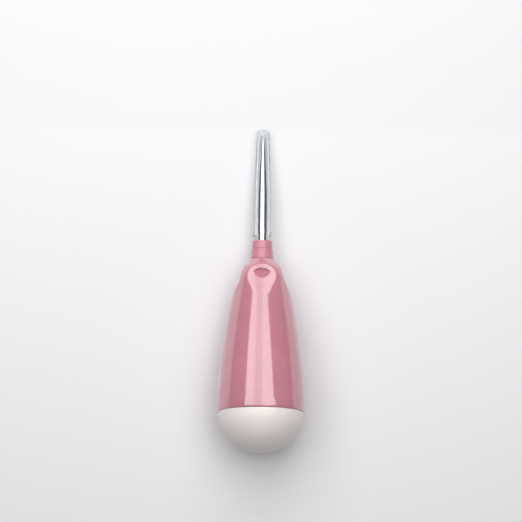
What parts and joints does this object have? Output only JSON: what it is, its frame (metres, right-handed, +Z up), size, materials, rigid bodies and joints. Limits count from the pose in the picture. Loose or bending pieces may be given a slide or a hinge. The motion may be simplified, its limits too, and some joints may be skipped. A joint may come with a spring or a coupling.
{
  "type": "bookbinding awl",
  "caption": "Hand awl with a slender tapered steel spike, a collared moulded grip with scooped finger rests, a domed palm cap and a clear push-on point protector.",
  "frame": {"origin": "on the surface the awl lies on, under the middle of its bounding box", "axes": "+Y runs along the surface towards the point of the spike, +Z is up, +X is to the side; the awl's own axis dips from +Y towards the surface"},
  "size_m": [0.0358, 0.1312, 0.037],
  "materials": {
    "rose_plastic": "glossy dusty rose",
    "cream_plastic": "satin off-white",
    "spike_steel": "polished",
    "clear_plastic": "water clear"
  },
  "bodies": {
    "handle": {"handle_body": "rose_plastic", "palm_dome": "cream_plastic", "tang_core": "rose_plastic", "awl_spike": "spike_steel"},
    "protector": {"point_protector": "clear_plastic"}
  },
  "joints": [
    {"name": "protector_pull", "type": "slide", "parent": "handle", "child": "protector", "axis": [0, 0.9889, -0.1488], "range_m": [0, 0.045]}
  ]
}
